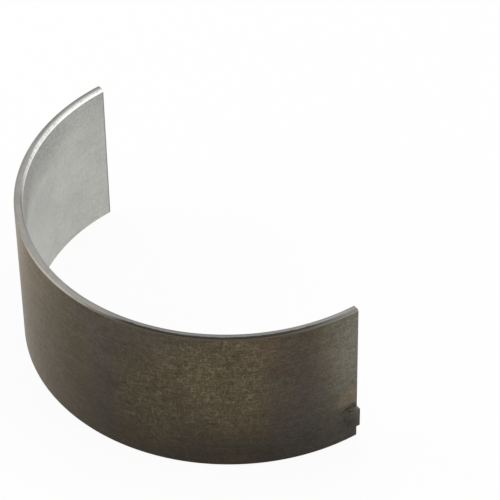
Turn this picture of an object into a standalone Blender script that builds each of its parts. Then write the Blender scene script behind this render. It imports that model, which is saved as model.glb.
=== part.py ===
"""Thin-walled engine bearing shell, one half of a plain journal bearing, standing on an end face.

The bore's axis is parallel to Z, the crown points to -Y, and the two parting faces look to +Y.
The locating tang is at the +X end of the arc, near the lower end face. The shell is shown as it
is before fitting, sprung open a little wider than the housing that it will be pressed into.
Lengths are in metres and angles in radians.
"""

import math

import bmesh
import bpy
from mathutils import Matrix, Vector

SHELL_NAME = "bearing_shell"

# Shell
HOUSING_BORE = 0.0680  # diameter of the bore that the back is pressed into
FREE_SPREAD = 0.0016  # extra width across the parting faces before fitting
WALL = 0.0015  # steel back and lining together
WIDTH = 0.0280  # from end face to end face
BORE_CHAMFER_RADIAL = 0.00033  # long chamfer where an end face meets the bore
BORE_CHAMFER_AXIAL = 0.00068
BACK_CHAMFER = 0.00028  # 45 degree chamfer where an end face meets the back
PARTING_BREAK = 0.0001  # deburred corner all round each parting face
BORE_RELIEF_DEPTH = 0.00003  # lining machined thinner towards each parting face
BORE_RELIEF_LENGTH = 0.0060

# Locating tang, pressed out of the wall by a punch in the bore
TANG_FOOT = 0.00334  # from the lower end face to the tang's lower side
TANG_WIDTH = 0.0036  # from the lower side to the sheared upper side
TANG_RISE = 0.00096  # how far it stands out from the back
TANG_LENGTH = 0.0030  # along the back, to where its ramp has run out
TANG_LAND = 0.0006  # level top next to the parting face
TANG_FULLNESS = 1.4  # how late its ramp falls; 1 is even
TANG_SETBACK = 0.0001  # its end lies this far behind the parting face
TANG_ROUND = 0.00014  # drawn outer corners
TANG_WEB = 0.00045  # wall left between the notch's floor and the back
TANG_ROOT = TANG_WEB / 2  # how deep its foot is buried in the back

# Notch that the punch leaves in the bore behind the tang
NOTCH_LENGTH = 0.0036  # along the bore, to where its floor has come up
NOTCH_LEAN = 0.0018  # how far the lower wall leans down between floor and bore
NOTCH_INSET = 0.0013  # from the tang's lower side up to the lower edge of the notch's floor
NOTCH_FLARE = 0.0003  # how far the upper wall leans up between floor and bore
NOTCH_LAP = 0.0002  # how far the floor reaches above the tang's sheared side

# Tear along the sheared upper side of the tang
TEAR_GAP = 0.00016  # its height where it has run out
TEAR_MOUTH = 0.0006  # its height at the back, where it gapes
TEAR_GAPE = 0.0006  # how far from the parting face it gapes
TEAR_CLOSING = 0.0012  # over which it narrows from there
TEAR_DEPTH = 0.0002  # into the wall, from the back
TEAR_LIP = 0.00004  # its depth at the parting face
TEAR_LEAD = 0.0005  # over which it deepens from there
TEAR_RUN = 0.0001  # how far it runs on past the tang

# Facets and modelling allowances
ARC_STEPS = 144
RAMP_STEPS = 10
ROUND_SEGMENTS = 3
CUTTER_OVERRUN = 0.0005  # how far a cutter passes the surface that it opens
MERGE_DISTANCE = 1e-6  # points this close are one
ON_SURFACE = 0.00001  # a face this close to the back's radius lies on the back
CORNER_ANGLE = math.radians(20)  # edges sharper than this are shaded as corners
HALVINGS = 60  # steps of the search for the free arc

# Finishes: colour, roughness, metallic
STEEL_BACK = ((0.085, 0.073, 0.058, 1.0), 0.50, 0.75)
LINING = ((0.40, 0.40, 0.385, 1.0), 0.38, 0.90)
BARE_EDGE = ((0.52, 0.51, 0.49, 1.0), 0.30, 1.0)


def free_half_angle():
    """Half of the free arc. The back is half the housing's round, opened until its chord has the spread."""
    back_length = math.pi * HOUSING_BORE / 2
    chord = HOUSING_BORE + FREE_SPREAD
    low, high = math.pi / 4, math.pi / 2
    for _ in range(HALVINGS):
        middle = (low + high) / 2
        if back_length * math.sin(middle) / middle > chord:
            low = middle
        else:
            high = middle
    return (low + high) / 2


HALF_ANGLE = free_half_angle()
BACK_RADIUS = math.pi * HOUSING_BORE / 4 / HALF_ANGLE
BORE_RADIUS = BACK_RADIUS - WALL
CROWN_ANGLE = -math.pi / 2
TANG_END_ANGLE = CROWN_ANGLE + HALF_ANGLE
SHEAR_HEIGHT = TANG_FOOT + TANG_WIDTH


def finish(name, values):
    colour, roughness, metallic = values
    material = bpy.data.materials.new(name)
    material.use_nodes = True
    shader = material.node_tree.nodes["Principled BSDF"]
    shader.inputs["Base Color"].default_value = colour
    shader.inputs["Roughness"].default_value = roughness
    shader.inputs["Metallic"].default_value = metallic
    material.diffuse_color = colour
    return material


def collection(name):
    made = bpy.data.collections.new(name)
    bpy.context.scene.collection.children.link(made)
    return made


def evaluated_mesh(obj):
    """A new mesh of what the object's modifiers or curve settings make, with its doubles merged."""
    bpy.context.view_layer.update()
    graph = bpy.context.evaluated_depsgraph_get()
    mesh = bpy.data.meshes.new_from_object(obj.evaluated_get(graph))
    work = bmesh.new()
    work.from_mesh(mesh)
    bmesh.ops.remove_doubles(work, verts=work.verts, dist=MERGE_DISTANCE)
    work.to_mesh(mesh)
    work.free()
    return mesh


def swept(name, section, start, arc, steps):
    """A section of (radius, height) points turned about Z from the start angle through the arc, its ends open."""
    mesh = bpy.data.meshes.new(name)
    edges = [(i, (i + 1) % len(section)) for i in range(len(section))]
    mesh.from_pydata([(radius, 0, height) for radius, height in section], edges, [])
    profile = bpy.data.objects.new(name, mesh)
    bpy.context.scene.collection.objects.link(profile)
    screw = profile.modifiers.new("arc", "SCREW")
    screw.axis = "Z"
    screw.angle = arc
    screw.steps = screw.render_steps = steps
    band = evaluated_mesh(profile)
    bpy.data.objects.remove(profile)
    bpy.data.meshes.remove(mesh)
    band.name = name
    band.transform(Matrix.Rotation(start, 4, "Z"))
    return band


def turned_band():
    """The wall's section, down the back, in under it and up the bore, swept through the free arc."""
    section = [
        (BACK_RADIUS - BACK_CHAMFER, WIDTH),
        (BACK_RADIUS, WIDTH - BACK_CHAMFER),
        (BACK_RADIUS, BACK_CHAMFER),
        (BACK_RADIUS - BACK_CHAMFER, 0),
        (BORE_RADIUS + BORE_CHAMFER_RADIAL, 0),
        (BORE_RADIUS, BORE_CHAMFER_AXIAL),
        (BORE_RADIUS, WIDTH - BORE_CHAMFER_AXIAL),
        (BORE_RADIUS + BORE_CHAMFER_RADIAL, WIDTH),
    ]
    return swept(SHELL_NAME, section, CROWN_ANGLE - HALF_ANGLE, 2 * HALF_ANGLE, ARC_STEPS)


def relieve_bore(work):
    """Moves the bore out by the relief at each parting face, fading to nothing over the relief's length."""
    for vertex in work.verts:
        radius = math.hypot(vertex.co.x, vertex.co.y)
        if radius > BORE_RADIUS + BORE_CHAMFER_RADIAL / 2:
            continue
        from_crown = math.atan2(vertex.co.y, vertex.co.x) - CROWN_ANGLE
        from_crown = (from_crown + math.pi) % (2 * math.pi) - math.pi
        from_face = (HALF_ANGLE - abs(from_crown)) * BORE_RADIUS
        share = max(0.0, 1 - from_face / BORE_RELIEF_LENGTH)
        grown = 1 + BORE_RELIEF_DEPTH * share / radius
        vertex.co.x *= grown
        vertex.co.y *= grown


def close_ends(work):
    """Fills the two open ends of what was swept. Gives the edges round them."""
    made = bmesh.ops.holes_fill(work, edges=work.edges, sides=0)
    bmesh.ops.recalc_face_normals(work, faces=work.faces)
    return list({edge for face in made["faces"] for edge in face.edges})


def finish_surfaces(mesh):
    """Back and bore take their own finishes. Chamfers, end, parting and sheared faces are bare metal."""
    for name, values in (("steel_back", STEEL_BACK), ("lining", LINING), ("bare_edge", BARE_EDGE)):
        mesh.materials.append(finish(name, values))
    back, lining, bare = range(3)
    for face in mesh.polygons:
        radius = math.hypot(face.center.x, face.center.y)
        outward = (face.normal.x * face.center.x + face.normal.y * face.center.y) / radius
        if outward > math.cos(math.pi / 4) and radius > BACK_RADIUS - ON_SURFACE:
            face.material_index = back
        elif outward < -math.cos(CORNER_ANGLE) and radius < BORE_RADIUS + BORE_RELIEF_DEPTH:
            face.material_index = lining
        else:
            face.material_index = bare
    mesh.shade_smooth()
    mesh.set_sharp_from_angle(angle=CORNER_ANGLE)


def by_the_tang(radius, distance, height=0.0):
    """A point at that radius and that distance along the back from the parting face at the tang's end."""
    angle = TANG_END_ANGLE - distance / BACK_RADIUS
    return Vector((radius * math.cos(angle), radius * math.sin(angle), height))


def ease(share):
    """0 to 1 with level ends, as a drawn ramp rises."""
    return share * share * (3 - 2 * share)


def clamped(share):
    return min(1.0, max(0.0, share))


def plate(name, outline, low, high):
    """A flat outline of (radius, distance) points, extruded from one height to another."""
    curve = bpy.data.curves.new(name, "CURVE")
    curve.dimensions = "2D"
    curve.fill_mode = "BOTH"
    curve.extrude = (high - low) / 2
    spline = curve.splines.new("POLY")
    spline.points.add(len(outline) - 1)
    for point, (radius, distance) in zip(spline.points, outline):
        point.co = (*by_the_tang(radius, distance), 1)
    spline.use_cyclic_u = True
    drawn = bpy.data.objects.new(name, curve)
    bpy.context.scene.collection.objects.link(drawn)
    mesh = evaluated_mesh(drawn)
    bpy.data.objects.remove(drawn)
    mesh.transform(Matrix.Translation((0, 0, (low + high) / 2)))
    return mesh


def along(start, end, steps):
    return [start + (end - start) * i / steps for i in range(steps + 1)]


def tang_mesh():
    """The tang: a level land, a drawn ramp down to the back, and a root buried in the wall."""
    crest = []
    for distance in along(TANG_LAND, TANG_LENGTH, RAMP_STEPS):
        fallen = ease(clamped((distance - TANG_LAND) / (TANG_LENGTH - TANG_LAND)) ** TANG_FULLNESS)
        crest.append((BACK_RADIUS + TANG_RISE * (1 - fallen) - TANG_ROOT / 2 * fallen, distance))
    root = [
        (BACK_RADIUS - TANG_ROOT, distance)
        for distance in along(TANG_LENGTH, TANG_SETBACK, RAMP_STEPS)
    ]
    outline = [(BACK_RADIUS + TANG_RISE, TANG_SETBACK)] + crest + root
    mesh = plate("tang", outline, TANG_FOOT, SHEAR_HEIGHT + TEAR_GAP / 2)
    work = bmesh.new()
    work.from_mesh(mesh)
    bmesh.ops.recalc_face_normals(work, faces=work.faces)
    drawn_edges = []
    for edge in work.edges:
        buried = BACK_RADIUS - min(math.hypot(vertex.co.x, vertex.co.y) for vertex in edge.verts)
        lower = max(vertex.co.z for vertex in edge.verts) < TANG_FOOT + TANG_WIDTH / 2
        upright = abs(edge.verts[0].co.z - edge.verts[1].co.z) > TANG_WIDTH / 2
        drawn = (lower and buried < TANG_ROOT * 3 / 4) or (upright and buried < 0)
        if drawn and edge.calc_face_angle() > CORNER_ANGLE:
            drawn_edges.append(edge)
    bmesh.ops.bevel(
        work,
        geom=drawn_edges,
        offset=TANG_ROUND,
        segments=ROUND_SEGMENTS,
        profile=0.5,
        affect="EDGES",
        clamp_overlap=True,
    )
    work.to_mesh(mesh)
    work.free()
    return mesh


def notch_mesh():
    """The notch's cutter: its floor comes up along the bore, its lower wall leans and its upper one is near square."""
    floor_radius = BACK_RADIUS - TANG_WEB
    inner_radius = BORE_RADIUS - CUTTER_OVERRUN
    floor = [(floor_radius, -CUTTER_OVERRUN), (floor_radius, TANG_LAND)]
    for distance in along(TANG_LAND, NOTCH_LENGTH, RAMP_STEPS)[1:]:
        risen = ease((distance - TANG_LAND) / (NOTCH_LENGTH - TANG_LAND))
        floor.append((floor_radius + (inner_radius - floor_radius) * risen, distance))
    mouth = [(inner_radius - CUTTER_OVERRUN, NOTCH_LENGTH), (inner_radius - CUTTER_OVERRUN, -CUTTER_OVERRUN)]
    low = TANG_FOOT + NOTCH_INSET
    high = SHEAR_HEIGHT + NOTCH_LAP
    mesh = plate("notch", floor + mouth, low, high)
    for vertex in mesh.vertices:
        radius = math.hypot(vertex.co.x, vertex.co.y)
        inward = (floor_radius - radius) / (floor_radius - BORE_RADIUS)
        if vertex.co.z > (low + high) / 2:
            vertex.co.z += NOTCH_FLARE * inward
        else:
            vertex.co.z -= NOTCH_LEAN * inward
    return mesh


def tear_mesh():
    """The tear's cutter: it trims the tang's upper side flat and gapes at the back, near the parting face."""
    run = TANG_LENGTH + TEAR_RUN
    inner_radius = BACK_RADIUS - TEAR_DEPTH
    outer_radius = BACK_RADIUS + TANG_RISE + CUTTER_OVERRUN
    roof = SHEAR_HEIGHT + TEAR_GAP
    section = [
        (outer_radius, roof),
        (outer_radius, SHEAR_HEIGHT),
        (inner_radius, SHEAR_HEIGHT),
        (inner_radius, roof),
        (BACK_RADIUS, roof),
    ]
    arc = (run + CUTTER_OVERRUN) / BACK_RADIUS
    mesh = swept("tear", section, TANG_END_ANGLE - run / BACK_RADIUS, arc, RAMP_STEPS)
    work = bmesh.new()
    work.from_mesh(mesh)
    close_ends(work)
    for vertex in work.verts:
        radius = math.hypot(vertex.co.x, vertex.co.y)
        angle = math.atan2(vertex.co.y, vertex.co.x)
        distance = (TANG_END_ANGLE - angle) * BACK_RADIUS
        if vertex.co.z > SHEAR_HEIGHT + TEAR_GAP / 2:
            open_share = (radius - inner_radius) / TEAR_DEPTH
            closed_share = ease(clamped((distance - TEAR_GAPE) / TEAR_CLOSING))
            vertex.co.z += (TEAR_MOUTH - TEAR_GAP) * open_share * (1 - closed_share)
        if radius < BACK_RADIUS - ON_SURFACE:
            deep_share = ease(clamped(distance / TEAR_LEAD))
            depth = TEAR_LIP + (TEAR_DEPTH - TEAR_LIP) * deep_share
            vertex.co.x *= (BACK_RADIUS - depth) / radius
            vertex.co.y *= (BACK_RADIUS - depth) / radius
    work.to_mesh(mesh)
    work.free()
    return mesh


def helper(mesh, helpers, shell):
    """A shape that is joined to or cut from the shell, and isn't rendered itself."""
    work = bmesh.new()
    work.from_mesh(mesh)
    bmesh.ops.recalc_face_normals(work, faces=work.faces)
    work.to_mesh(mesh)
    work.free()
    obj = bpy.data.objects.new(mesh.name, mesh)
    obj.hide_render = True
    obj.display_type = "WIRE"
    helpers.objects.link(obj)
    obj.parent = shell
    return obj


def combine(shell, operation, other):
    boolean = shell.modifiers.new(other.name, "BOOLEAN")
    boolean.operation = operation
    boolean.object = other


def stand_on_origin(shell):
    """Puts the middle of the foot of the shell's box at the origin. The helpers follow as its children."""
    lowest = [min(vertex.co[axis] for vertex in shell.data.vertices) for axis in range(3)]
    highest = [max(vertex.co[axis] for vertex in shell.data.vertices) for axis in range(3)]
    shell.location = (
        -(lowest[0] + highest[0]) / 2,
        -(lowest[1] + highest[1]) / 2,
        -lowest[2],
    )


def bearing_shell(parts, helpers):
    """The turned band with its tang joined on and its notch and tear cut out, then finished all over."""
    mesh = turned_band()
    work = bmesh.new()
    work.from_mesh(mesh)
    relieve_bore(work)
    bmesh.ops.bevel(
        work,
        geom=close_ends(work),
        offset=PARTING_BREAK,
        segments=1,
        affect="EDGES",
        clamp_overlap=True,
    )
    work.to_mesh(mesh)
    work.free()
    shell = bpy.data.objects.new(SHELL_NAME, mesh)
    parts.objects.link(shell)
    combine(shell, "UNION", helper(tang_mesh(), helpers, shell))
    combine(shell, "DIFFERENCE", helper(notch_mesh(), helpers, shell))
    combine(shell, "DIFFERENCE", helper(tear_mesh(), helpers, shell))
    shell.data = evaluated_mesh(shell)
    shell.modifiers.clear()
    finish_surfaces(shell.data)
    stand_on_origin(shell)


def main():
    for obj in list(bpy.data.objects):
        bpy.data.objects.remove(obj)
    bearing_shell(collection("engine_bearing_shell"), collection("cutters"))


main()
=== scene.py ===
"""The finished look of a thin-walled engine bearing shell that stands on an end face.

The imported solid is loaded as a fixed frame, and one finely modelled piece stands for it: a band
swept round the bore's axis, with its locating tang, the notch behind the tang and the tear along
the tang's sheared side. Lengths are in metres and angles in radians.

A place on the shell has three lengths: along, the arc from the crown towards the tang; height,
from the lower end face; and depth, from the back into the wall.
"""

import math

import bmesh
import bpy
from bpy.props import FloatProperty, FloatVectorProperty, PointerProperty
from mathutils import Matrix, Vector


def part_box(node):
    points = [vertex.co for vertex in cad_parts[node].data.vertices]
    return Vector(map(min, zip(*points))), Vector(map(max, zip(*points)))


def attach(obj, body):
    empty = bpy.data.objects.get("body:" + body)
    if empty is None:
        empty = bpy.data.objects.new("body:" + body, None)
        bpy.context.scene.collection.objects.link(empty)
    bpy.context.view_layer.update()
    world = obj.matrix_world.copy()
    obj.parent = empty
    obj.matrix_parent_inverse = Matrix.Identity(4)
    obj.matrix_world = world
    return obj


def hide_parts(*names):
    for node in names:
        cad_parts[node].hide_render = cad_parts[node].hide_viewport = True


bl_info = {
    "name": "Engine bearing shell",
    "version": (1, 0, 0),
    "blender": (4, 5, 0),
    "location": "3D View > Sidebar > Bearing",
    "description": "Models and finishes one half of a plain journal bearing",
    "category": "Object",
}

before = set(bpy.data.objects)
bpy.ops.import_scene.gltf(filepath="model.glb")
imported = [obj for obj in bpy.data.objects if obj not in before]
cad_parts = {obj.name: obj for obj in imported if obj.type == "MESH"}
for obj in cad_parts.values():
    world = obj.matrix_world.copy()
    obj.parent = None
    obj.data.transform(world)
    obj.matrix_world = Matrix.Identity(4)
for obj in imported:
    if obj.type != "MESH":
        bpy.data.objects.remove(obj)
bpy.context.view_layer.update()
NODE = "bearing_shell"
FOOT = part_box(NODE)[0]

# How finely the shapes are stepped
BAND_STEPS = 320
RAMP_STEPS = 28
TEAR_STEPS = 40
CORNER_STEPS = 4
EDGE_STEPS = 2
OVERRUN = 0.0004  # how far a cutter passes what it opens
RAMP_SINK = 0.125  # the tang's ramp ends this share of the web below the back
RAGGED = ((0.12, 1.7, 0.0), (0.08, 3.1, 1.0))  # waves of the torn roof: size, turn per step, shift
RAGGED_REACH = 1.3  # within the wall, the torn roof stays below this share of the tear's mouth
MERGE = 1e-6
NEAR = 2e-5  # a point within this of a surface lies on it

# Angles between faces, from which an edge is rounded, kept sharp or drawn by the punch
ROUNDED_FROM = math.radians(15)
SHARP_FROM = math.radians(22)
DRAWN_FROM = 0.6

# How much of a face's normal has to point a way
SQUARE_ON = 0.9
MOSTLY = 0.5
LEANING = 0.2
SLIGHTLY = 0.05

# How far the marks of a finish stand up
MARK_RELIEF = 6e-6
TURNED_RELIEF = 5e-6
BORED_RELIEF = 4e-6
TORN_RELIEF = 2e-5

# Patches of wear and stain, and of painted shade on the back's lower edge and the lining's far side: along
# and height of the middle, the reach each way, the border's wander
PATCHES = {
    "worn": ((0.0300, 0.0205), (0.0124, 0.0136), 1.1),
    "worn_left": ((0.0185, 0.0130), (0.0070, 0.0085), 1.0),
    "dull": ((0.0020, 0.0105), (0.0180, 0.0130), 0.8),
    "corner": ((-0.0180, 0.0280), (0.0080, 0.0080), 0.5),
    "plum_top": ((0.0140, 0.0275), (0.0115, 0.0065), 0.8),
    "plum_left": ((0.0105, 0.0140), (0.0028, 0.0150), 0.9),
    "plum_right": ((0.0415, 0.0140), (0.0052, 0.0160), 0.8),
    # Painted shade along the back's lower edge.
    "shade": ((0.0380, -0.0010), (0.0300, 0.0080), 0.8),
    "rose": ((0.0522, 0.0094), (0.0028, 0.0024), 0.8),
    "slate": ((0.0490, 0.0030), (0.0090, 0.0075), 0.8),
    # Painted shade on the lining's far side.
    "smear": ((-0.0352, 0.0258), (0.0090, 0.0056), 0.8),
    "clouded": ((-0.0345, 0.0145), (0.0055, 0.0044), 0.8),
    "rubbed": ((-0.0440, 0.0140), (0.0055, 0.0050), 0.6),
}

# The stage. A lamp has its bearing from the line of sight, elevation, distance, side and power.
LAMPS = {
    "left_box": (math.radians(-95), math.radians(25), 0.5, 0.35, 1.1),
    "right_box": (math.radians(75), math.radians(20), 0.5, 0.35, 0.7),
    "top_box": (math.radians(160), math.radians(70), 0.6, 0.5, 0.8),
}
LAMP_AIM = Vector((0, 0, 0.014))
WHITE = (1, 1, 1)
ROOM_LIGHT = 0.6
FLOOR_SIDE = 4.0
FLOOR_DROP = 0.00002  # keeps the floor just clear of the lower end face
FLOOR_COLOUR = (0.9, 0.9, 0.9)
FLOOR_ROUGHNESS = 0.8
FLOOR_GLOW = 0.93
FILM_WIDTH = 36  # millimetres
CLIP = (0.01, 20)


def length(name, text, default):
    return FloatProperty(
        name=name, description=text, default=default, min=0.0, precision=5, unit="LENGTH"
    )


def offset(name, text, default):
    return FloatProperty(name=name, description=text, default=default, precision=6, unit="LENGTH")


def angle(name, text, degrees):
    return FloatProperty(name=name, description=text, default=math.radians(degrees), subtype="ANGLE")


def colour(name, text, default):
    return FloatVectorProperty(
        name=name, description=text, default=default, size=3, min=0.0, max=1.0, subtype="COLOR"
    )


class ShellSizes(bpy.types.PropertyGroup):
    """The sizes of the turned band"""

    housing_bore: length("Housing bore", "Diameter that the back is pressed into", 0.0680)
    half_angle: angle("Half angle", "From the crown to a parting face, before fitting", 87.8703)
    wall: length("Wall", "Steel back and lining together", 0.0015)
    width: length("Width", "From end face to end face", 0.0280)
    bore_chamfer_radial: length("Bore chamfer, radial", "Across the end face", 0.00033)
    bore_chamfer_axial: length("Bore chamfer, axial", "Down the bore", 0.00045)
    back_chamfer: length("Back chamfer", "Each way at the back's edges", 0.00028)
    edge_round: length("Edge round", "Softened edges of the chamfers", 0.00004)
    parting_break: length("Parting break", "Deburred corner round the parting faces", 0.0001)
    axis_offset: offset("Axis offset", "From the middle of the part's box to the axis, along X", -0.0004784)


class TangSizes(bpy.types.PropertyGroup):
    """The sizes of the tang, its notch and its tear"""

    foot: length("Foot", "From the lower end face to the tang's lower side", 0.00334)
    width: length("Width", "From the lower side to the sheared side", 0.0036)
    rise: length("Rise", "How far it stands out from the back", 0.00096)
    length: length("Length", "To where its ramp has run out", 0.0030)
    fullness: FloatProperty(
        name="Fullness", description="How late its ramp falls; 1 is even", default=1.4, min=1.0
    )
    land: length("Land", "Level top next to the parting face", 0.0006)
    setback: length("Setback", "Its end lies this far behind the parting face", 0.0001)
    round: length("Round", "Drawn outer corners", 0.00014)
    web: length("Web", "Wall left between the notch's floor and the back", 0.00045)
    notch_length: length("Notch length", "To where its floor has come up", 0.0036)
    notch_inset: length("Notch inset", "From the tang's lower side to the notch's floor", 0.0013)
    notch_lean: length("Notch lean", "How far its lower wall leans down", 0.0018)
    notch_flare: length("Notch flare", "How far its upper wall leans up", 0.0003)
    notch_lap: length("Notch lap", "How far it reaches above the sheared side", 0.0002)
    tear_gap: length("Tear gap", "Height of the tear where it has run out", 0.00016)
    tear_mouth: length("Tear mouth", "Height of the tear where it gapes", 0.0006)
    tear_gape: length("Tear gape", "How far from the parting face it gapes", 0.0006)
    tear_closing: length("Tear closing", "Over which it narrows from there", 0.0012)
    tear_depth: length("Tear depth", "Into the wall from the back", 0.0002)
    tear_lip: length("Tear lip", "Its depth at the parting face", 0.00004)
    tear_lead: length("Tear lead", "Over which it deepens from there", 0.0005)
    tear_run: length("Tear run", "How far it runs on past the tang", 0.0001)


class Finishes(bpy.types.PropertyGroup):
    """The colours of the surfaces"""

    back_brown: colour("Back, brown", "Oxide over most of the steel back", (0.062, 0.0475, 0.029))
    back_olive: colour("Back, olive", "Olive patches of the oxide", (0.063, 0.053, 0.031))
    back_gold: colour("Back, gold", "Threads of worn oxide", (0.176, 0.1405, 0.084))
    back_red: colour("Back, red", "Rust-brown round the worn patch", (0.076, 0.050, 0.031))
    back_plum: colour("Back, plum", "Purple-grey bands of the oxide", (0.055, 0.047, 0.040))
    # Painted shade along the back's lower edge, and the painted dark reflection along the near edges of the
    # end face and the back chamfer; it also draws the dark lines on the bore chamfer and by the tang's ramp.
    back_dark_and_painted_shade: colour("Back, shade", "Darkest oxide, near the lower edge", (0.026, 0.021, 0.017))
    # Also the colour of the painted sheen on the back's left side.
    back_worn_and_painted_sheen: colour("Back, worn", "Warm steel through the thin oxide", (0.190, 0.148, 0.102))
    # Painted sheen: the paler grey of the back's ends and of the back chamfer's right end.
    back_painted_sheen: colour("Back, grey", "Olive-grey steel at the ends", (0.146, 0.141, 0.119))
    back_slate: colour("Back, slate", "Grey oxide below the tang", (0.066, 0.0630, 0.0570))
    lining: colour("Lining", "Satin bearing metal", (0.438, 0.437, 0.410))
    # Also painted shade on the lining's far side.
    lining_stain_and_painted_shade: colour("Lining, stain", "Darker handling marks", (0.27, 0.27, 0.262))
    lining_pale: colour("Lining, pale", "Paler flecks", (0.588, 0.585, 0.545))
    lining_cut: colour("Lining, cut", "The lining's edge in the end face", (0.42, 0.42, 0.40))
    end_face: colour("End face", "Turned steel", (0.265, 0.256, 0.240))
    # Also painted shade along the lining's chamfer on the far side, and the bore chamfer's darker near side.
    end_face_stain_and_painted_shade: colour("End face, stain", "Darker turned steel", (0.180, 0.173, 0.163))
    # Painted shade along the far end's outer edge and along the lining's parting edges.
    end_face_painted_shade: colour("End face, edge", "Darker outer edge round the far end", (0.110, 0.106, 0.102))
    # Near white, as it holds a painted highlight on the bore chamfer's far side.
    chamfer: colour("Bore chamfer", "Freshly cut bearing metal", (0.88, 0.88, 0.855))
    chamfer_oxide: colour("Back chamfer", "Oxidised edge of the back", (0.086, 0.070, 0.050))
    # Painted highlight on the back chamfer.
    chamfer_painted_highlight: colour("Back chamfer, worn", "Where the edge has worn bright", (0.185, 0.173, 0.150))
    # Painted reflection round the back chamfer's far side.
    chamfer_painted_reflection: colour("Back chamfer, far side", "Bare steel", (0.240, 0.228, 0.205))
    sheared: colour("Sheared steel", "Bright lip of the tang's torn side", (0.225, 0.207, 0.178))
    tear: colour("Tear", "Deep torn steel", (0.10, 0.09, 0.078))


class StageSettings(bpy.types.PropertyGroup):
    """The camera"""

    azimuth: angle("Azimuth", "0 looks along +Y", 53.0879)
    elevation: angle("Elevation", "Above the horizon", 42.5598)
    roll: angle("Roll", "Of the camera", -0.9141)
    distance: length("Distance", "From the camera to the point it looks at", 0.503970)
    focal_length: FloatProperty(
        name="Focal length", description="In millimetres, on a 36 mm frame", default=211.01, unit="CAMERA"
    )
    target_x: offset("Target X", "Point looked at", -0.0112680)
    target_y: offset("Target Y", "Point looked at", 0.0301224)


# Shape helpers


def back_radius(sizes):
    """The free radius of the back, from the housing's half round and the free arc."""
    return math.pi * sizes.housing_bore / 4 / sizes.half_angle


def axis_point(sizes):
    """The foot of the bore's axis."""
    return Vector((sizes.axis_offset, FOOT.y + back_radius(sizes), 0.0))


def deselect_all():
    if bpy.context.mode != "OBJECT":
        bpy.ops.object.mode_set(mode="OBJECT")
    bpy.ops.object.select_all(action="DESELECT")


def activate(obj):
    deselect_all()
    obj.select_set(True)
    bpy.context.view_layer.objects.active = obj


def pick(obj, kind, test):
    """In edit mode, selects the points, edges or faces for which the test holds. Gives how many."""
    bpy.ops.mesh.select_mode(type=kind)
    bpy.ops.mesh.select_all(action="DESELECT")
    work = bmesh.from_edit_mesh(obj.data)
    found = 0
    for element in {"VERT": work.verts, "EDGE": work.edges, "FACE": work.faces}[kind]:
        if test(element):
            element.select_set(True)
            found += 1
    work.select_flush_mode()
    bmesh.update_edit_mesh(obj.data)
    return found


def swept_block(name, sizes, low, high, inner, outer, start, arc, steps, shape=None):
    """A rectangle of radii and heights, shaped if asked, then spun from start through the arc."""
    axis = axis_point(sizes)
    middle = axis + Vector(((inner + outer) / 2, 0, (low + high) / 2))
    deselect_all()
    bpy.ops.mesh.primitive_plane_add(size=1, location=middle, rotation=(math.pi / 2, 0, 0))
    block = bpy.context.object
    block.name = block.data.name = name
    bpy.ops.object.transform_apply(location=True, rotation=True, scale=True)
    bpy.ops.object.mode_set(mode="EDIT")
    bpy.ops.mesh.select_all(action="SELECT")
    bpy.ops.transform.resize(value=(outer - inner, 1, high - low), center_override=middle)
    if shape:
        shape(block, axis)
    bpy.ops.mesh.select_all(action="SELECT")
    # The rectangle starts a quarter turn past the crown. With no window the turn goes the other way.
    bpy.ops.transform.rotate(value=math.pi / 2 - start, orient_axis="Z", center_override=axis)
    bpy.ops.mesh.spin(steps=steps, angle=-arc, center=axis, axis=(0, 0, 1))
    close_up(block)
    return block


def close_up(obj):
    """Merges doubles, fills open ends and turns all faces outwards."""
    bpy.ops.mesh.select_mode(type="VERT")
    bpy.ops.mesh.select_all(action="SELECT")
    bpy.ops.mesh.remove_doubles(threshold=MERGE)
    bpy.ops.mesh.select_all(action="DESELECT")
    bpy.ops.mesh.select_non_manifold(extend=False)
    if any(vertex.select for vertex in bmesh.from_edit_mesh(obj.data).verts):
        bpy.ops.mesh.fill_holes(sides=0)
    bpy.ops.mesh.select_all(action="SELECT")
    bpy.ops.mesh.normals_make_consistent(inside=False)


def polar(point, axis):
    """(radius, angle from the crown, height) of a point. The angle grows towards the tang."""
    x, y = point.x - axis.x, point.y - axis.y
    return math.hypot(x, y), math.atan2(x, -y), point.z


def rings(sizes, start, arc, steps):
    """For each ring of a swept block: its number, its way from the parting face and a test for points.

    The test holds for the ring's points at the given radius.
    """
    axis = axis_point(sizes)
    half_step = arc / steps / 2
    for step in range(steps + 1):
        turned = start + arc * step / steps

        def on_ring(vertex, radius):
            place = polar(vertex.co, axis)
            return abs(place[0] - radius) < NEAR and abs(place[1] - turned) < half_step

        yield step, (sizes.half_angle - turned) * back_radius(sizes), on_ring


def ease(share):
    """0 to 1 with level ends, as a drawn ramp rises."""
    share = min(1.0, max(0.0, share))
    return share * share * (3 - 2 * share)


def to_radius(wanted, present, axis):
    """Moves what is selected from one radius to another."""
    share = wanted / present
    bpy.ops.transform.resize(value=(share, share, 1), center_override=axis)


def apply_boolean(obj, other, operation):
    activate(obj)
    boolean = obj.modifiers.new(other.name, "BOOLEAN")
    boolean.operation = operation
    boolean.solver = "EXACT"
    boolean.object = other
    bpy.ops.object.modifier_apply(modifier=boolean.name)
    bpy.data.objects.remove(other)


# The shell's shape


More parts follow.
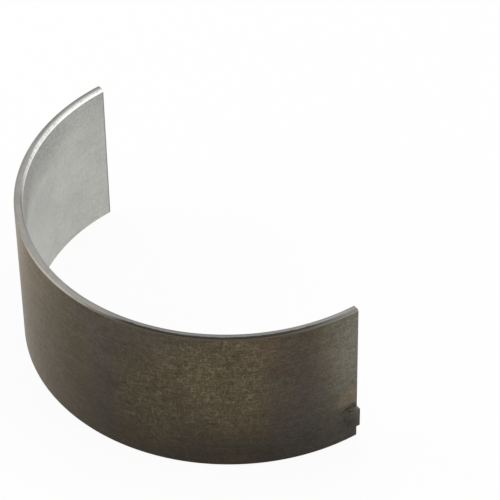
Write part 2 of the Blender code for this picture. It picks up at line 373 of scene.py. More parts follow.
def model_band(sizes):
    """The plain band, with its four chamfers, deburred parting faces and softened edges."""
    radius = back_radius(sizes)
    bore = radius - sizes.wall

    def chamfer(block, axis):
        outer, inner = axis.x + radius, axis.x + bore
        for at, cut in ((outer, sizes.back_chamfer), (inner, sizes.bore_chamfer_radial)):
            pick(block, "VERT", lambda vertex: abs(vertex.co.x - at) < NEAR)
            bpy.ops.mesh.bevel(offset=cut, affect="VERTICES")
        drop = sizes.bore_chamfer_axial - sizes.bore_chamfer_radial
        for side in (1, -1):
            pick(
                block,
                "VERT",
                lambda vertex: abs(vertex.co.x - inner) < NEAR and (vertex.co.z - sizes.width / 2) * side > 0,
            )
            bpy.ops.transform.translate(value=(0, 0, -side * drop))

    start, arc = -sizes.half_angle, 2 * sizes.half_angle
    band = swept_block("half_shell", sizes, 0, sizes.width, bore, radius, start, arc, BAND_STEPS, chamfer)
    pick(band, "EDGE", lambda edge: sum(len(face.verts) > 4 for face in edge.link_faces) == 1)
    bpy.ops.mesh.bevel(offset=sizes.parting_break, affect="EDGES")
    bpy.ops.object.mode_set(mode="OBJECT")
    soften = band.modifiers.new("edge_round", "BEVEL")
    soften.width = sizes.edge_round
    soften.segments = EDGE_STEPS
    soften.limit_method = "ANGLE"
    soften.angle_limit = ROUNDED_FROM
    activate(band)
    bpy.ops.object.modifier_apply(modifier=soften.name)
    return band


def model_tang(sizes, tang):
    """The tang, drawn out of the wall: a level land, a ramp down to the back and rounded corners."""
    radius = back_radius(sizes)
    root = radius - tang.web / 2
    reach = radius + tang.rise
    axis = axis_point(sizes)
    start = sizes.half_angle - tang.length / radius
    arc = (tang.length - tang.setback) / radius
    top = tang.foot + tang.width + tang.tear_gap / 2
    block = swept_block("tang", sizes, tang.foot, top, root, reach, start, arc, RAMP_STEPS)
    for _, distance, on_ring in rings(sizes, start, arc, RAMP_STEPS):
        share = min(1.0, max(0.0, (distance - tang.land) / (tang.length - tang.land)))
        fallen = ease(share**tang.fullness)
        wanted = radius + tang.rise * (1 - fallen) - tang.web * RAMP_SINK * fallen
        if abs(wanted - reach) >= MERGE and pick(block, "VERT", lambda vertex: on_ring(vertex, reach)):
            to_radius(wanted, reach, axis)
    middle = tang.foot + tang.width / 2

    def drawn(edge):
        places = [polar(vertex.co, axis) for vertex in edge.verts]
        innermost = min(place[0] for place in places)
        low = max(place[2] for place in places) < middle and innermost > root + NEAR
        upright = abs(places[0][2] - places[1][2]) > tang.width / 2 and innermost > radius
        return (low or upright) and edge.calc_face_angle() > DRAWN_FROM

    pick(block, "EDGE", drawn)
    bpy.ops.mesh.bevel(offset=tang.round, segments=CORNER_STEPS, affect="EDGES", clamp_overlap=True)
    bpy.ops.object.mode_set(mode="OBJECT")
    return block


def model_notch(sizes, tang):
    """The notch's cutter, with a floor that comes up along the bore and a leaning lower wall."""
    radius = back_radius(sizes)
    bore = radius - sizes.wall
    floor = radius - tang.web
    mouth = bore - 2 * OVERRUN
    axis = axis_point(sizes)
    start = sizes.half_angle - tang.notch_length / radius
    arc = (tang.notch_length + OVERRUN) / radius
    low = tang.foot + tang.notch_inset
    high = tang.foot + tang.width + tang.notch_lap
    block = swept_block("notch", sizes, low, high, mouth, floor, start, arc, RAMP_STEPS)

    def floor_at(distance):
        risen = ease((distance - tang.land) / (tang.notch_length - tang.land))
        return floor + (bore - OVERRUN - floor) * risen

    for _, distance, on_ring in rings(sizes, start, arc, RAMP_STEPS):
        wanted = floor_at(distance)
        if abs(wanted - floor) >= MERGE and pick(block, "VERT", lambda vertex: on_ring(vertex, floor)):
            to_radius(wanted, floor, axis)
    for level, lean in ((low, -tang.notch_lean), (high, tang.notch_flare)):
        for _, distance, on_ring in rings(sizes, start, arc, RAMP_STEPS):
            for at in (floor_at(distance), mouth):
                share = (floor - at) / (floor - bore)
                moved = pick(
                    block, "VERT", lambda vertex: on_ring(vertex, at) and abs(vertex.co.z - level) < NEAR
                )
                if moved and share:
                    bpy.ops.transform.translate(value=(0, 0, lean * share))
    bpy.ops.object.mode_set(mode="OBJECT")
    return block


def model_tear(sizes, tang):
    """The tear's cutter: flat below, where it trims the tang, and a ragged roof that gapes at the back."""
    radius = back_radius(sizes)
    axis = axis_point(sizes)
    run = tang.length + tang.tear_run
    inner = radius - tang.tear_depth
    outer = radius + tang.rise + OVERRUN
    low = tang.foot + tang.width
    start = sizes.half_angle - run / radius
    arc = (run + OVERRUN) / radius

    def split(block, axis):
        bpy.ops.mesh.bisect(plane_co=axis + Vector((radius, 0, 0)), plane_no=(1, 0, 0))

    block = swept_block(
        "tear", sizes, low, low + tang.tear_gap, inner, outer, start, arc, TEAR_STEPS, split
    )
    for step, distance, on_ring in rings(sizes, start, arc, TEAR_STEPS):
        ragged = 1 + sum(size * math.sin(step * turn + shift) for size, turn, shift in RAGGED)
        closed = ease((distance - tang.tear_gape) / tang.tear_closing)
        opened = (tang.tear_mouth - tang.tear_gap) * (1 - closed)
        for at in (radius, outer):
            pick(
                block, "VERT", lambda vertex: on_ring(vertex, at) and vertex.co.z > low + tang.tear_gap / 2
            )
            lifted = opened * ragged * (at - inner) / tang.tear_depth
            bpy.ops.transform.translate(value=(0, 0, lifted))
        depth = tang.tear_lip + (tang.tear_depth - tang.tear_lip) * ease(distance / tang.tear_lead)
        pick(block, "VERT", lambda vertex: on_ring(vertex, inner))
        to_radius(radius - depth, inner, axis)
    bpy.ops.object.mode_set(mode="OBJECT")
    return block


def finish_mesh(obj):
    """Smooth shading with the real edges kept, and normals that follow the large faces."""
    activate(obj)
    bpy.ops.object.shade_smooth_by_angle(angle=SHARP_FROM)
    weighted = obj.modifiers.new("weighted", "WEIGHTED_NORMAL")
    weighted.keep_sharp = True
    bpy.ops.object.modifier_apply(modifier=weighted.name)


# Which finish each face has


def finish_of(face, sizes, tang, axis):
    """The name of a face's finish, from where it lies and the way it looks."""
    radius = back_radius(sizes)
    bore = radius - sizes.wall
    reach, turned, height = polar(face.calc_center_median(), axis)
    out = face.normal.dot(Vector((math.sin(turned), -math.cos(turned), 0)))
    onward = face.normal.dot(Vector((math.cos(turned), math.sin(turned), 0)))
    up = face.normal.z
    left = (sizes.half_angle - turned) * radius
    to_end = min(height, sizes.width - height)
    if to_end < sizes.bore_chamfer_axial + sizes.edge_round and abs(up) > SLIGHTLY:
        if out < -LEANING:
            return "bore_chamfer"
        return "end_face" if abs(up) > SQUARE_ON else "back_chamfer"
    sheared_side = tang.foot + tang.width
    beside_tang = 0 < left < tang.length + 2 * tang.tear_run
    if beside_tang and abs(height - sheared_side) < 3 * NEAR and up > SQUARE_ON:
        return "sheared_side"
    in_gap = sheared_side + NEAR < height < sheared_side + tang.tear_mouth * RAGGED_REACH
    if beside_tang and in_gap and bore + NEAR < reach < radius - NEAR and abs(onward) < SQUARE_ON:
        return "tear"
    to_parting = min(left, 2 * sizes.half_angle * radius - left)
    if abs(onward) > MOSTLY and to_parting < 3 * tang.setback:
        return "parting_face"
    if 0 < left < tang.notch_length + NEAR and bore + NEAR < reach < radius - tang.web + NEAR:
        return "notch"
    return "lining" if out < 0 else "steel_back"


def assign_finishes(shell, sizes, tang, finishes):
    materials = make_materials(sizes, finishes)
    for material in materials.values():
        shell.data.materials.append(material)
    names = list(materials)
    axis = axis_point(sizes)
    work = bmesh.new()
    work.from_mesh(shell.data)
    for face in work.faces:
        face.material_index = names.index(finish_of(face, sizes, tang, axis))
    work.to_mesh(shell.data)
    work.free()


# Shader helpers


class Nodes:
    """The nodes of one tree. Each call adds what it needs and gives the output."""

    def __init__(self, tree):
        self.tree = tree

    def put(self, socket, value):
        """Sets a socket to a value, or links it to the output of another node."""
        if isinstance(value, bpy.types.NodeSocket):
            self.tree.links.new(value, socket)
        elif socket.type == "RGBA":
            socket.default_value = (*value, 1)
        else:
            socket.default_value = value

    def new(self, kind, *inputs, **choices):
        """A node with its choices made and its sockets filled in order."""
        node = self.tree.nodes.new("ShaderNode" + kind)
        for name, choice in choices.items():
            setattr(node, name, choice)
        for socket, value in zip(node.inputs, inputs):
            self.put(socket, value)
        return node

    def calculate(self, operation, *inputs, clamp=False):
        return self.new("Math", *inputs, operation=operation, use_clamp=clamp).outputs["Value"]

    def vector(self, operation, *inputs):
        node = self.new("VectorMath", *inputs, operation=operation)
        return node.outputs["Value" if operation == "LENGTH" else "Vector"]

    def product(self, first, *others):
        for other in others:
            first = self.calculate("MULTIPLY", first, other)
        return first

    def scaled(self, value, factor, start):
        """The value times the factor, plus the start."""
        return self.calculate("MULTIPLY_ADD", value, factor, start)

    def strayed(self, value, noise, reach):
        """The value, pushed either way by up to half the reach."""
        return self.scaled(self.calculate("SUBTRACT", noise, 0.5), reach, value)

    def rise(self, value, low, high, start=0.0, end=1.0):
        """Goes smoothly from start to end while the value goes from low to high."""
        node = self.new("MapRange", value, low, high, start, end, interpolation_type="SMOOTHSTEP")
        return node.outputs["Result"]

    def noise(self, place, scale, detail, roughness, distortion=0.0):
        node = self.new("TexNoise", place)
        for name, value in (
            ("Scale", scale), ("Detail", detail), ("Roughness", roughness), ("Distortion", distortion)
        ):
            self.put(node.inputs[name], value)
        return node.outputs["Fac"]

    def blend(self, share, first, second, kind="MIX"):
        """Mixes two colours: all of the second where the share is 1."""
        node = self.new("Mix", data_type="RGBA", blend_type=kind)
        sockets = {socket.identifier: socket for socket in (*node.inputs, *node.outputs)}
        for name, value in (("Factor_Float", share), ("A_Color", first), ("B_Color", second)):
            self.put(sockets[name], value)
        return sockets["Result_Color"]

    def cover(self, colour, other, *shares):
        """Lays another colour over a colour, by the product of the shares."""
        return self.blend(self.product(*shares), colour, other)

    def toned(self, colour, tone):
        return self.blend(1.0, colour, tone, "MULTIPLY")


class Surface(Nodes):
    """A metal's nodes, with the place on the shell that they read."""

    def __init__(self, name, groups, metallic):
        self.material = bpy.data.materials.new(name)
        self.material.use_nodes = True
        super().__init__(self.material.node_tree)
        self.shader = self.tree.nodes["Principled BSDF"]
        self.put(self.shader.inputs["Metallic"], metallic)
        self.groups = groups
        self.place, self.along, self.height, self.depth = self.group("place")

    def group(self, name, **inputs):
        node = self.new("Group", node_tree=self.groups[name])
        for label, value in inputs.items():
            self.put(node.inputs[label.capitalize()], value)
        return node.outputs

    def patch(self, name):
        middle, reach, wander = PATCHES[name]
        middle, reach = (*middle, 0), (*reach, 1)
        return self.group("patch", place=self.place, middle=middle, reach=reach, wander=wander)["Patch"]

    def mottle(self, size, stretch=(1, 1, 1)):
        return self.group("mottle", place=self.place, size=size, stretch=stretch)["Mottle"]

    def lines(self, run, spacing):
        return self.group("lines", place=self.place, run=run, spacing=spacing)["Lines"]

    def finish(self, colour, roughness, relief=None, relief_depth=0.0):
        """Links the colour, the roughness and a relief of up to the given depth. Gives the material."""
        self.put(self.shader.inputs["Base Color"], colour)
        self.put(self.shader.inputs["Roughness"], roughness)
        if relief:
            bump = self.new("Bump")
            self.put(bump.inputs["Distance"], relief_depth)
            self.put(bump.inputs["Height"], relief)
            self.put(self.shader.inputs["Normal"], bump.outputs["Normal"])
        return self.material


def new_group(name, inputs, outputs):
    """A shader node group with named sockets. Gives its nodes, what it gets and what it puts out."""
    tree = bpy.data.node_groups.new(name, "ShaderNodeTree")
    for label, kind, default in inputs:
        socket = tree.interface.new_socket(label, in_out="INPUT", socket_type="NodeSocket" + kind)
        socket.default_value = default
    for label, kind in outputs:
        tree.interface.new_socket(label, in_out="OUTPUT", socket_type="NodeSocket" + kind)
    return Nodes(tree), tree.nodes.new("NodeGroupInput").outputs, tree.nodes.new("NodeGroupOutput").inputs


def place_group(sizes):
    """The place on the shell: along the arc, the height and the depth, together and each alone."""
    nodes, given, result = new_group(
        "Round the bore",
        [("Axis", "Vector", axis_point(sizes)), ("Back radius", "Float", back_radius(sizes))],
        [("Place", "Vector"), ("Along", "Float"), ("Height", "Float"), ("Depth", "Float")],
    )
    position = nodes.new("TexCoord").outputs["Object"]
    from_axis = nodes.vector("SUBTRACT", position, given["Axis"])
    x, y, height = nodes.new("SeparateXYZ", from_axis).outputs
    distance = nodes.vector("LENGTH", nodes.vector("MULTIPLY", from_axis, (1, 1, 0)))
    turned = nodes.calculate("ARCTAN2", x, nodes.calculate("MULTIPLY", y, -1.0))
    along = nodes.calculate("MULTIPLY", turned, given["Back radius"])
    depth = nodes.calculate("SUBTRACT", given["Back radius"], distance)
    place = nodes.new("CombineXYZ", along, height, depth).outputs["Vector"]
    for label, value in (("Place", place), ("Along", along), ("Height", height), ("Depth", depth)):
        nodes.put(result[label], value)
    return nodes.tree


def lines_group():
    """Fine lines left by a cutter or a roll. They run along the arc, each a little longer than the run."""
    nodes, given, result = new_group(
        "Cutter lines",
        [("Place", "Vector", (0, 0, 0)), ("Run", "Float", 0.006), ("Spacing", "Float", 0.00012)],
        [("Lines", "Float")],
    )
    per_run = nodes.calculate("DIVIDE", 1.0, given["Run"])
    pitch = nodes.calculate("DIVIDE", 1.0, given["Spacing"])
    scale = nodes.new("CombineXYZ", per_run, pitch, pitch).outputs["Vector"]
    place = nodes.vector("MULTIPLY", given["Place"], scale)
    nodes.put(result["Lines"], nodes.noise(place, 1.0, 3.0, 0.6))
    return nodes.tree


def mottle_group():
    """Crawling speckle, as in a thin oxide skin. It goes from 0 to 1 with sharp borders."""
    nodes, given, result = new_group(
        "Mottle",
        [("Place", "Vector", (0, 0, 0)), ("Size", "Float", 0.0005), ("Stretch", "Vector", (1, 1, 1))],
        [("Mottle", "Float")],
    )
    stretched = nodes.vector("MULTIPLY", given["Place"], given["Stretch"])
    cells = nodes.noise(stretched, nodes.calculate("DIVIDE", 1.0, given["Size"]), 3.0, 0.6, 0.9)
    nodes.put(result["Mottle"], nodes.rise(cells, 0.40, 0.64))
    return nodes.tree


def patch_group():
    """A soft patch with a wandering border, 1 in its middle."""
    nodes, given, result = new_group(
        "Patch",
        [
            ("Place", "Vector", (0, 0, 0)),
            ("Middle", "Vector", (0, 0, 0)),
            ("Reach", "Vector", (0.01, 0.01, 1)),
            ("Wander", "Float", 0.5),
        ],
        [("Patch", "Float")],
    )
    from_middle = nodes.vector("SUBTRACT", given["Place"], given["Middle"])
    in_reach = nodes.vector("DIVIDE", from_middle, given["Reach"])
    distance = nodes.vector("LENGTH", nodes.vector("MULTIPLY", in_reach, (1, 1, 0)))
    border = nodes.noise(given["Place"], 260.0, 4.0, 0.6, 0.3)
    nodes.put(result["Patch"], nodes.rise(nodes.strayed(distance, border, given["Wander"]), 1.35, 0.45))
    return nodes.tree


# The finishes


def oxide_material(finishes, groups):
    """The steel back: brown oxide with a worn golden middle and purple-grey bands, painted sheen at both ends
    and painted shade along the lower edge.
    """
    steel = Surface("oxidised_steel", groups, 0.75)
    steel.shader.inputs["Specular IOR Level"].default_value = 0.3
    steel.shader.inputs["Specular Tint"].default_value = (0.97, 0.915, 0.85, 1)
    along, height, place = steel.along, steel.height, steel.place
    rise, product, scaled, cover = steel.rise, steel.product, steel.scaled, steel.cover
    worn_left = steel.patch("worn_left")
    worn = steel.calculate("MAXIMUM", steel.patch("worn"), product(worn_left, 0.95))
    plum = steel.calculate("ADD", steel.patch("plum_left"), steel.patch("plum_right"))
    plum = steel.calculate("ADD", plum, steel.patch("plum_top"), clamp=True)
    # Painted sheen: paler towards the left and right ends.
    painted_sheen_left = rise(along, 0.013, -0.016)
    painted_sheen_right = product(rise(along, 0.0425, 0.0545), rise(height, 0.0070, 0.0150, 0.3, 1.0))
    clouds = steel.noise(place, 170.0, 4.0, 0.6, 0.4)
    tints = steel.noise(place, 330.0, 3.0, 0.6, 0.6)
    blotches = steel.noise(place, 900.0, 3.0, 0.6, 0.3)
    grain = steel.noise(place, 2600.0, 3.0, 0.7)

    skin = cover(finishes.back_brown, finishes.back_olive, rise(clouds, 0.42, 0.60))
    skin = cover(skin, finishes.back_plum, rise(tints, 0.50, 0.70, 0.0, 0.7), scaled(worn, -0.8, 1.0))
    skin = cover(skin, finishes.back_red, rise(tints, 0.48, 0.32, 0.0, 0.45))
    worn = product(worn, scaled(plum, -0.75, 1.0))
    skin = cover(skin, finishes.back_plum, plum, 0.75)
    rust = rise(steel.noise(place, 90.0, 3.0, 0.6, 0.2), 0.44, 0.62, 0.0, 3.2)
    skin = cover(skin, finishes.back_red, worn, steel.calculate("SUBTRACT", 1.0, worn), rust)
    # Painted sheen on the left, in the warm worn colour.
    skin = cover(skin, finishes.back_worn_and_painted_sheen, painted_sheen_left, 0.28)
    # Painted sheen greys the far left end.
    left_end = rise(steel.strayed(along, clouds, 0.030), -0.0120, -0.0220, 0.0, 0.6)
    # The first two are painted sheen at the ends; slate and rose are the oxide's own colours.
    for tint, *shares in (
        (finishes.back_painted_sheen, left_end),
        (finishes.back_painted_sheen, painted_sheen_right, 0.65),
        (finishes.back_slate, steel.patch("slate"), 0.50),
        (finishes.back_worn_and_painted_sheen, steel.patch("rose"), 0.52),
    ):
        skin = cover(skin, tint, *shares)

    upright = product(steel.mottle(0.00034, (1.0, 0.30, 1)), rise(steel.mottle(0.0010), 0.0, 0.6))
    level = product(steel.mottle(0.00034, (0.22, 1.0, 1)), 0.5)
    threads = steel.calculate("MAXIMUM", upright, level)
    bare = scaled(worn, 0.62, rise(along, 0.038, 0.046, 0.14, 0.04))
    skin = cover(skin, finishes.back_gold, threads, bare)
    # Painted shade along the lower edge.
    skin = cover(skin, finishes.back_dark_and_painted_shade, steel.patch("shade"), 0.50)

    rolled = steel.lines(0.009, 0.00030)
    tone = scaled(rolled, 0.80, 0.62)
    for light, low, span in ((grain, 0.20, 1.60), (blotches, 0.55, 0.90), (clouds, 0.75, 0.50)):
        tone = product(tone, scaled(light, span, low))
    # Painted shade: darker towards the bottom.
    tone = product(tone, rise(height, -0.004, 0.026, 0.68, 1.06))
    # Brighter in the corner patch, duller in two patches, and lighter at both ends by painted sheen.
    for region, gain in (
        (steel.patch("corner"), 0.40),
        (steel.patch("dull"), -0.17),
        (worn_left, -0.15),
        (painted_sheen_left, 0.25),
        (painted_sheen_right, 0.32),
    ):
        tone = product(tone, scaled(region, gain, 1.0))
    rough = scaled(painted_sheen_left, -0.06, scaled(threads, 0.10, 0.46))
    relief = steel.calculate("ADD", rolled, product(threads, 0.5))
    return steel.finish(steel.toned(skin, tone), rough, relief, MARK_RELIEF)


def lining_material(sizes, finishes, groups):
    """Satin bearing metal: fine bored lines, soft cross streaks, pale and dark clouds, and painted shade by
    the chamfer, along the parting edges and on the far side.
    """
    satin = Surface("satin_lining", groups, 0.85)
    along, height, rise, cover = satin.along, satin.height, satin.rise, satin.cover
    bored = satin.lines(0.006, 0.00016)
    streaks = satin.mottle(0.0011, (1, 0.45, 1))
    flecks = satin.mottle(0.0005)
    clouds = rise(satin.noise(satin.place, 160.0, 4.0, 0.6, 0.5), 0.38, 0.66)
    # Painted shade along the chamfer on the far side.
    widened = satin.calculate("ADD", height, rise(along, -0.034, -0.018, 0.0, 0.007))
    painted_shade_by_chamfer = satin.product(
        rise(widened, 0.0222, 0.0270), rise(along, -0.044, -0.030), rise(along, -0.004, -0.018)
    )
    end = sizes.half_angle * back_radius(sizes)
    # Painted shade along the parting edges.
    painted_shade_by_parting = rise(satin.calculate("ABSOLUTE", along), end - 0.00040, end - 0.00012, 0.0, 0.75)
    metal = finishes.lining
    for tint, *shares in (
        (finishes.lining_stain_and_painted_shade, clouds, 0.28),
        # Painted shade on the far side.
        (finishes.lining_stain_and_painted_shade, satin.patch("smear"), 0.78),
        (finishes.lining_stain_and_painted_shade, satin.patch("clouded"), 0.24),
        (finishes.lining_pale, satin.patch("rubbed"), 0.18),
        (finishes.end_face_stain_and_painted_shade, painted_shade_by_chamfer, 0.80),
        (finishes.lining_stain_and_painted_shade, rise(height, 0.0205, 0.0265, 0.0, 0.44)),
        (finishes.lining_stain_and_painted_shade, streaks, 0.16),
        (finishes.lining_pale, flecks, rise(along, -0.028, -0.010, 0.36, 0.14)),
        (finishes.end_face_painted_shade, painted_shade_by_parting),
    ):
        metal = cover(metal, tint, *shares)
    metal = satin.toned(metal, satin.scaled(bored, 0.34, 0.83))
    return satin.finish(metal, satin.scaled(flecks, 0.07, 0.40), bored, BORED_RELIEF)


def end_face_material(finishes, groups):
    """The turned end faces: fine rings and soft stains, duller on the near side, with a painted dark
    reflection along the near side's outer edge and painted shade along the far end's outer edge.
    """
    turned = Surface("turned_end", groups, 0.85)
    along, depth, place = turned.along, turned.depth, turned.place
    rise, cover, product = turned.rise, turned.cover, turned.product
    rings_cut = turned.lines(0.005, 0.00011)
    stain = rise(turned.noise(place, 380.0, 4.0, 0.6, 0.4), 0.42, 0.68, 0.0, 0.45)
    near_side = product(rise(along, -0.004, 0.022), rise(along, 0.057, 0.034))
    steel = cover(finishes.end_face, finishes.end_face_stain_and_painted_shade, turned.calculate("MAXIMUM", stain, near_side))
    lining = rise(depth, 0.00084, 0.00094), rise(along, -0.031, -0.036)
    steel = cover(steel, finishes.lining_cut, *lining)
    # Painted dark reflection along the outer edge on the near side.
    ragged = turned.strayed(depth, turned.noise(place, 900.0, 3.0, 0.6), 0.0003)
    painted_dark_edge = product(
        rise(ragged, 0.00065, 0.00051),
        rise(along, 0.011, 0.016, 0.0, 0.97),
        rise(along, 0.054, 0.044, 0.3, 1.0),
    )
    steel = cover(steel, finishes.back_dark_and_painted_shade, painted_dark_edge)
    # Painted shade along the outer edge at the far end.
    painted_shade_far_edge = rise(depth, 0.00062, 0.00044), rise(along, -0.034, -0.042, 0.0, 0.6)
    steel = cover(steel, finishes.end_face_painted_shade, *painted_shade_far_edge)
    steel = turned.toned(steel, turned.scaled(rings_cut, 0.6, 0.72))
    return turned.finish(steel, turned.scaled(rings_cut, 0.14, 0.35), rings_cut, TURNED_RELIEF)


def cut_lining_material(sizes, finishes, groups):
    """The bore chamfer: cut metal with tool marks across it, near white with a painted highlight on the far
    side and grey towards the near side, and a dark line along its outer edge.
    """
    cut = Surface("cut_lining", groups, 0.9)
    along, height, rise, cover, product = cut.along, cut.height, cut.rise, cut.cover, cut.product
    axial = sizes.bore_chamfer_axial
    ticks = cut.lines(0.00030, 0.0016)
    from_face = cut.calculate("MINIMUM", height, cut.calculate("SUBTRACT", sizes.width, height))
    outer = rise(from_face, axial * 0.60, axial * 0.40)
    # Painted highlight: near white on the far side, dimmer at the far left end, greyed over the outer part in
    # two stretches.
    greyed = cut.calculate(
        "MAXIMUM", rise(along, -0.036, -0.045, 0.15, 0.36), rise(along, -0.031, -0.020, 0.15, 0.8)
    )
    metal = cut.toned(finishes.chamfer, rise(along, -0.050, -0.038, 0.66, 1.0))
    metal = cover(metal, finishes.lining_stain_and_painted_shade, outer, greyed)
    scored = rise(ticks, 0.48, 0.62), rise(outer, 0.0, 1.0, 0.2, 0.5)
    metal = cover(metal, finishes.lining_stain_and_painted_shade, *scored)
    # Towards the near side the painted highlight gives way to the end face's grey, darker still past the
    # crown.
    metal = cover(metal, finishes.end_face, rise(along, -0.034, -0.015))
    metal = cover(metal, finishes.end_face_stain_and_painted_shade, rise(along, 0.000, 0.007))
    # A dark line along the outer edge on the far side, broken by the tool marks.
    dark_line = product(
        rise(from_face, axial * 0.40, axial * 0.20),
        rise(along, -0.023, -0.020),
        rise(along, -0.010, -0.016, 0.15, 0.50),
        rise(ticks, 0.36, 0.56, 0.6, 1.0),
    )
    metal = cover(metal, finishes.back_dark_and_painted_shade, dark_line)
    return cut.finish(metal, cut.scaled(ticks, 0.12, cut.scaled(outer, 0.10, 0.20)))


def cut_back_material(finishes, groups):
    """The chamfer at the back's edges: a painted highlight and painted reflection brighten it round the far
    side; oxidised at the near one, with a painted dark reflection along its edge with the end face and
    painted sheen at the right end.
    """
    cut = Surface("cut_back", groups, 0.85)
    rise, cover = cut.rise, cut.cover
    along = cut.strayed(cut.along, cut.noise(cut.place, 400.0, 3.0, 0.6), 0.006)
    # Painted highlight, and further round the far side a painted reflection.
    steel = cover(finishes.chamfer_painted_highlight, finishes.chamfer_painted_reflection, rise(along, -0.010, -0.018))
    # On the near side: oxide, a painted dark reflection along the edge with the end face, and painted sheen
    # at the right end.
    for tint, *shares in (
        (finishes.chamfer_oxide, rise(along, 0.002, 0.015)),
        (finishes.back_dark_and_painted_shade, rise(cut.depth, 0.00015, 0.00023), rise(along, 0.011, 0.016)),
        (finishes.back_painted_sheen, rise(along, 0.037, 0.055)),
    ):
        steel = cover(steel, tint, *shares)
    lines = cut.lines(0.003, 0.0001)
    return cut.finish(cut.toned(steel, cut.scaled(lines, 0.5, 0.75)), cut.scaled(lines, 0.14, 0.34))


def sheared_material(sizes, finishes, groups):
    """The tang's torn side: a bright lip along the back's line, duller outwards and dark by the ramp."""
    torn = Surface("sheared_steel", groups, 0.7)
    grain = torn.lines(0.0004, 0.0002)
    end = sizes.half_angle * back_radius(sizes)
    lip = torn.rise(torn.depth, -0.0007, -0.0002, 0.35, 1.0)
    steel = torn.cover(finishes.chamfer_oxide, finishes.sheared, lip)
    by_ramp = torn.rise(torn.along, end - 0.0013, end - 0.0019, 0.0, 0.9)
    outside = torn.rise(torn.depth, -0.00015, -0.0003)
    steel = torn.cover(steel, finishes.back_dark_and_painted_shade, by_ramp, outside)
    steel = torn.toned(steel, torn.scaled(grain, 0.5, 0.75))
    return torn.finish(steel, torn.scaled(grain, 0.2, 0.40), grain, MARK_RELIEF)


def marked_material(name, groups, metallic, colour, other, roughness, run, spacing, depth=MARK_RELIEF):
    """Tooled or torn metal: marks along the arc, with soft stains between the two colours."""
    metal = Surface(name, groups, metallic)
    marks = metal.lines(run, spacing)
    stain = metal.rise(metal.noise(metal.place, 320.0, 4.0, 0.6, 0.4), 0.40, 0.70)
    share = metal.calculate("MULTIPLY_ADD", marks, 0.7, metal.scaled(stain, 0.6, -0.25), clamp=True)
    return metal.finish(
        metal.blend(share, colour, other), metal.scaled(share, 0.14, roughness), marks, depth
    )


def make_materials(sizes, finishes):
    """The materials by the name of the finish, in the order of the mesh's slots."""
    groups = {
        "place": place_group(sizes),
        "lines": lines_group(),
        "mottle": mottle_group(),
        "patch": patch_group(),
    }
    turned, stained = finishes.end_face, finishes.end_face_stain_and_painted_shade
    return {
        "steel_back": oxide_material(finishes, groups),
        "lining": lining_material(sizes, finishes, groups),
        "end_face": end_face_material(finishes, groups),
        "parting_face": marked_material(
            "broached_end", groups, 0.85, turned, stained, 0.38, run=0.0006, spacing=0.00012
        ),
        "bore_chamfer": cut_lining_material(sizes, finishes, groups),
        "back_chamfer": cut_back_material(finishes, groups),
        "sheared_side": sheared_material(sizes, finishes, groups),
        "tear": marked_material(
            "torn_steel", groups, 0.3, finishes.tear, finishes.back_brown, 0.75, 0.0004, 0.0003, TORN_RELIEF
        ),
        "notch": marked_material(
            "stamped_steel", groups, 0.8, stained, finishes.sheared, 0.5, run=0.0008, spacing=0.0004
        ),
    }


class BEARING_OT_shell(bpy.types.Operator):
    """Model the bearing shell with its tang, notch and tear"""

    bl_idname = "bearing.shell"
    bl_label = "Bearing shell"

    def execute(self, context):
        scene = context.scene
        sizes, tang = scene.bearing_shell_sizes, scene.bearing_tang_sizes
        shell = model_band(sizes)
        apply_boolean(shell, model_tang(sizes, tang), "UNION")
        apply_boolean(shell, model_notch(sizes, tang), "DIFFERENCE")
        apply_boolean(shell, model_tear(sizes, tang), "DIFFERENCE")
        finish_mesh(shell)
        assign_finishes(shell, sizes, tang, scene.bearing_finishes)
        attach(shell, "root")
        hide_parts(NODE)
        return {"FINISHED"}


class BEARING_OT_stage(bpy.types.Operator):
    """Make the floor, the lamps, the world and the camera"""

    bl_idname = "bearing.stage"
    bl_label = "Stage"

    def execute(self, context):
        scene = context.scene
        make_floor()
        make_lamps(scene)
        make_world(scene)
        make_camera(scene)
        return {"FINISHED"}


def show_background(nodes, output, lit, shown, share):
    """Shows the second shader, by the share, to rays that see, mirror or pass on to the background."""
    path = nodes.new("LightPath").outputs
    rays = nodes.calculate("ADD", path["Is Camera Ray"], path["Is Glossy Ray"])
    rays = nodes.calculate("ADD", rays, path["Is Transmission Ray"])
    factor = nodes.calculate("MULTIPLY", rays, share, clamp=True)
    mixed = nodes.new("MixShader", factor, lit, shown).outputs["Shader"]
    nodes.put(nodes.tree.nodes[output].inputs["Surface"], mixed)


def make_floor():
    deselect_all()
    bpy.ops.mesh.primitive_plane_add(size=FLOOR_SIDE, location=(0, 0, -FLOOR_DROP))
    floor = bpy.context.object
    floor.name = "floor"
    material = bpy.data.materials.new("white_floor")
    material.use_nodes = True
    nodes = Nodes(material.node_tree)
    shader = material.node_tree.nodes["Principled BSDF"]
    nodes.put(shader.inputs["Base Color"], FLOOR_COLOUR)
    nodes.put(shader.inputs["Roughness"], FLOOR_ROUGHNESS)
    glow = nodes.new("Emission", WHITE, 1.0).outputs["Emission"]
    show_background(nodes, "Material Output", shader.outputs["BSDF"], glow, FLOOR_GLOW)
    floor.data.materials.append(material)


def bearing(azimuth, elevation):
    """The way that a line of the given azimuth and elevation points."""
    level = math.cos(elevation)
    return Vector((-math.sin(azimuth) * level, math.cos(azimuth) * level, math.sin(elevation)))


def make_lamps(scene):
    """Soft boxes round the shell. Each is placed by its bearing from the camera's line of sight."""
    for name, (turn, elevation, distance, side, power) in LAMPS.items():
        lamp = bpy.data.lights.new(name, "AREA")
        lamp.shape = "SQUARE"
        lamp.size = side
        lamp.energy = power
        heading = scene.bearing_stage.azimuth + math.pi + turn
        aim = bearing(heading, elevation)
        obj = bpy.data.objects.new(name, lamp)
        scene.collection.objects.link(obj)
        obj.location = LAMP_AIM + aim * distance
        obj.rotation_euler = (-aim).to_track_quat("-Z", "Y").to_euler()


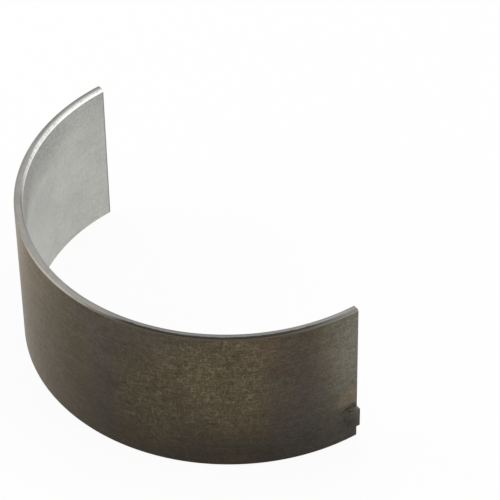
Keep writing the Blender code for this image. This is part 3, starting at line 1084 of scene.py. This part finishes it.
def make_world(scene):
    """A softly lit room that shows plain white."""
    world = bpy.data.worlds.new("white_room")
    scene.world = world
    world.use_nodes = True
    nodes = Nodes(world.node_tree)
    room = world.node_tree.nodes["Background"]
    nodes.put(room.inputs["Color"], WHITE)
    nodes.put(room.inputs["Strength"], ROOM_LIGHT)
    backdrop = nodes.new("Background", WHITE, 1.0).outputs["Background"]
    show_background(nodes, "World Output", room.outputs["Background"], backdrop, 1.0)


def make_camera(scene):
    stage = scene.bearing_stage
    data = bpy.data.cameras.new("camera")
    data.sensor_width = FILM_WIDTH
    data.lens = stage.focal_length
    data.clip_start, data.clip_end = CLIP
    camera = bpy.data.objects.new("camera", data)
    scene.collection.objects.link(camera)
    azimuth, elevation, roll = stage.azimuth, stage.elevation, stage.roll
    forward = bearing(azimuth, -elevation)
    level = Vector((math.cos(azimuth), math.sin(azimuth), 0))
    upright = level.cross(forward)
    right = level * math.cos(roll) + upright * math.sin(roll)
    up = upright * math.cos(roll) - level * math.sin(roll)
    turned = Matrix((right, up, -forward)).transposed().to_4x4()
    place = Vector((stage.target_x, stage.target_y, 0)) - forward * stage.distance
    camera.matrix_world = Matrix.Translation(place) @ turned
    scene.camera = camera
    scene.view_settings.view_transform = "Standard"


class BEARING_PT_panel(bpy.types.Panel):
    """The bearing shell's sizes, finishes and stage"""

    bl_label = "Bearing shell"
    bl_space_type = "VIEW_3D"
    bl_region_type = "UI"
    bl_category = "Bearing"

    def draw(self, context):
        for group in PROPERTY_GROUPS:
            box = self.layout.box()
            owner = getattr(context.scene, group)
            for name in owner.__annotations__:
                box.prop(owner, name)
        for operator in (BEARING_OT_shell, BEARING_OT_stage):
            self.layout.operator(operator.bl_idname)


PROPERTY_GROUPS = {
    "bearing_shell_sizes": ShellSizes,
    "bearing_tang_sizes": TangSizes,
    "bearing_finishes": Finishes,
    "bearing_stage": StageSettings,
}
CLASSES = (*PROPERTY_GROUPS.values(), BEARING_OT_shell, BEARING_OT_stage, BEARING_PT_panel)


def register():
    for cls in CLASSES:
        bpy.utils.register_class(cls)
    for name, group in PROPERTY_GROUPS.items():
        setattr(bpy.types.Scene, name, PointerProperty(type=group))


def unregister():
    for name in PROPERTY_GROUPS:
        delattr(bpy.types.Scene, name)
    for cls in reversed(CLASSES):
        bpy.utils.unregister_class(cls)


def main():
    register()
    bpy.ops.bearing.shell()
    bpy.ops.bearing.stage()


if __name__ == "__main__":
    main()
